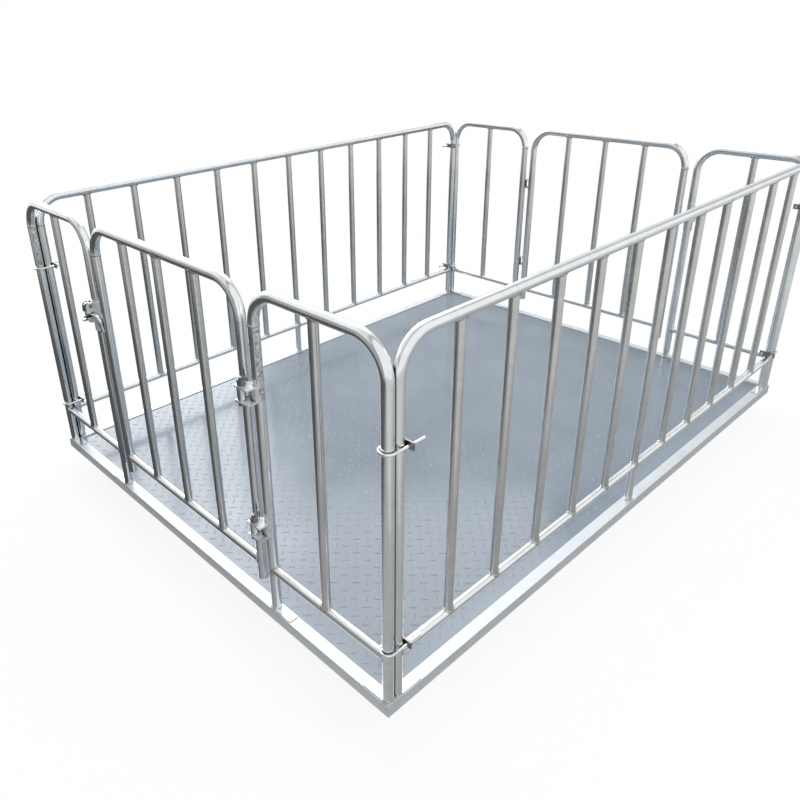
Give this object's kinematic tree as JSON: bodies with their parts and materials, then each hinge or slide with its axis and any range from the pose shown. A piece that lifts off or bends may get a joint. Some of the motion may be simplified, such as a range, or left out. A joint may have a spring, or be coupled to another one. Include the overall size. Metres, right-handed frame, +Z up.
{
  "type": "livestock weighing crate",
  "caption": "Low platform scale inside a fence of bent galvanised tube panels, with a hinged gate and a drop hook latch at each short end, for weighing livestock.",
  "frame": {"origin": "on the floor under the middle of the platform", "axes": "+Z up, +X along the platform from the entry gate to the exit gate, +Y towards the left long side"},
  "size_m": [2.064, 1.52, 0.92],
  "materials": {
    "rim_zinc": "hot dip galvanised, bright",
    "tread_plate": "blue-grey gloss on raised tread plate",
    "under_frame": "grey primer, satin",
    "plated_steel": "zinc plated, bright",
    "load_cell": "nickel plated, satin",
    "dark_steel": "dull steel",
    "rubber": "matt moulded rubber",
    "box_plastic": "fine grain moulded",
    "gland_plastic": "moulded nylon",
    "fence_zinc": "hot dip galvanised, satin"
  },
  "bodies": {
    "crate": {"rim_frame": "rim_zinc", "deck_plate": "tread_plate", "deck_stringers": "under_frame", "entry_end_channel": "under_frame", "exit_end_channel": "under_frame", "cell_mount_plates": "under_frame", "load_cell_spacers": "plated_steel", "load_cell_entry_right": "load_cell", "load_cell_entry_left": "load_cell", "load_cell_exit_right": "load_cell", "load_cell_exit_left": "load_cell", "load_cell_bolts": "dark_steel", "foot_entry_right": "plated_steel", "foot_entry_left": "plated_steel", "foot_exit_right": "plated_steel", "foot_exit_left": "plated_steel", "foot_lock_nuts": "dark_steel", "foot_pad_entry_right": "rubber", "foot_pad_entry_left": "rubber", "foot_pad_exit_right": "rubber", "foot_pad_exit_left": "rubber", "junction_box": "box_plastic", "junction_box_lid": "box_plastic", "cable_glands": "gland_plastic", "right_side_panel": "fence_zinc", "left_side_panel": "fence_zinc", "entry_right_panel": "fence_zinc", "entry_left_panel": "fence_zinc", "exit_right_panel": "fence_zinc", "exit_left_panel": "fence_zinc", "corner_u_bolts": "plated_steel", "clamp_saddle_plates": "plated_steel", "clamp_nuts": "plated_steel", "entry_hinge_brackets": "fence_zinc", "exit_hinge_brackets": "fence_zinc", "entry_hinge_bolts": "dark_steel", "exit_hinge_bolts": "dark_steel", "entry_hinge_nuts": "dark_steel", "exit_hinge_nuts": "dark_steel", "entry_latch_bracket": "fence_zinc", "exit_latch_bracket": "fence_zinc", "entry_latch_pin": "dark_steel", "exit_latch_pin": "dark_steel"},
    "entry_gate_leaf": {"entry_gate": "fence_zinc", "entry_hinge_knuckles": "fence_zinc", "entry_striker": "fence_zinc"},
    "exit_gate_leaf": {"exit_gate": "fence_zinc", "exit_hinge_knuckles": "fence_zinc", "exit_striker": "fence_zinc"},
    "entry_drop_hook": {"entry_latch_hook": "plated_steel"},
    "exit_drop_hook": {"exit_latch_hook": "plated_steel"}
  },
  "joints": [
    {"name": "entry_gate_swing", "type": "hinge", "parent": "crate", "child": "entry_gate_leaf", "pos_m": [-1.013, -0.3425, 0.5095], "axis": [0, 0, 1], "range_deg": [0, 170]},
    {"name": "exit_gate_swing", "type": "hinge", "parent": "crate", "child": "exit_gate_leaf", "pos_m": [1.013, 0.3425, 0.5095], "axis": [0, 0, 1], "range_deg": [0, 170]},
    {"name": "entry_hook_lift", "type": "hinge", "parent": "crate", "child": "entry_drop_hook", "pos_m": [-1.0098, 0.365, 0.686], "axis": [0, 1, 0], "range_deg": [0, 80]},
    {"name": "exit_hook_lift", "type": "hinge", "parent": "crate", "child": "exit_drop_hook", "pos_m": [1.0098, -0.365, 0.686], "axis": [0, -1, 0], "range_deg": [0, 80]}
  ]
}
